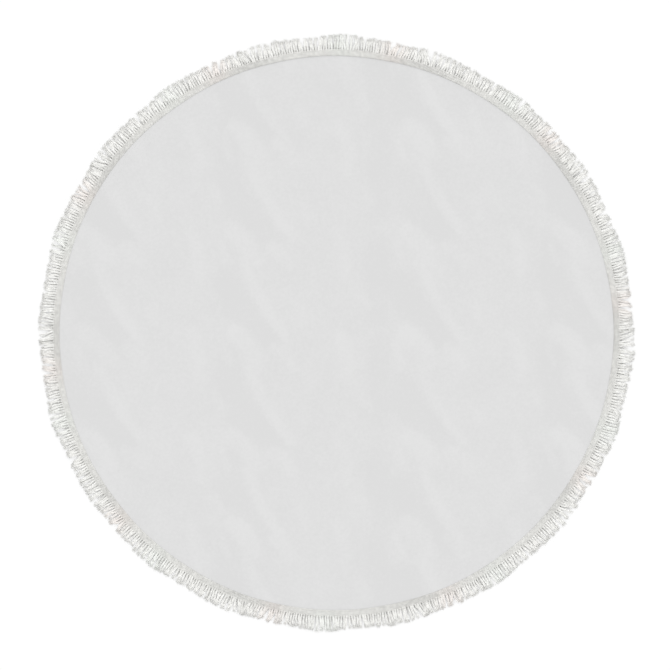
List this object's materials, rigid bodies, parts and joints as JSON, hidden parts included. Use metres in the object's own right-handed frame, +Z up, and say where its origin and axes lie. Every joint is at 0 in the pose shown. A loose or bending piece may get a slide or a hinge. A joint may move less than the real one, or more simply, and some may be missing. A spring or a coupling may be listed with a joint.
{
  "type": "round beach towel",
  "caption": "Round beach towel lying open and flat: a plain disc of plush cloth, edged all round by a sewn fringe trim with a woven heading and loose yarn locks.",
  "frame": {"origin": "on the surface that the towel lies on, under the middle of the cloth", "axes": "+Z up out of the towel's face, +Y towards the top of the picture, +X towards its right"},
  "size_m": [1.5285, 1.5329, 0.0045],
  "materials": {
    "plush_cloth": "soft short plush in pale neutral grey, matt with a faint nap",
    "fringe_yarn": "natural off-white cotton yarn, loosely twisted, matt"
  },
  "bodies": {
    "root": {"towel_cloth": "plush_cloth", "fringe_trim": "fringe_yarn"}
  },
  "joints": []
}
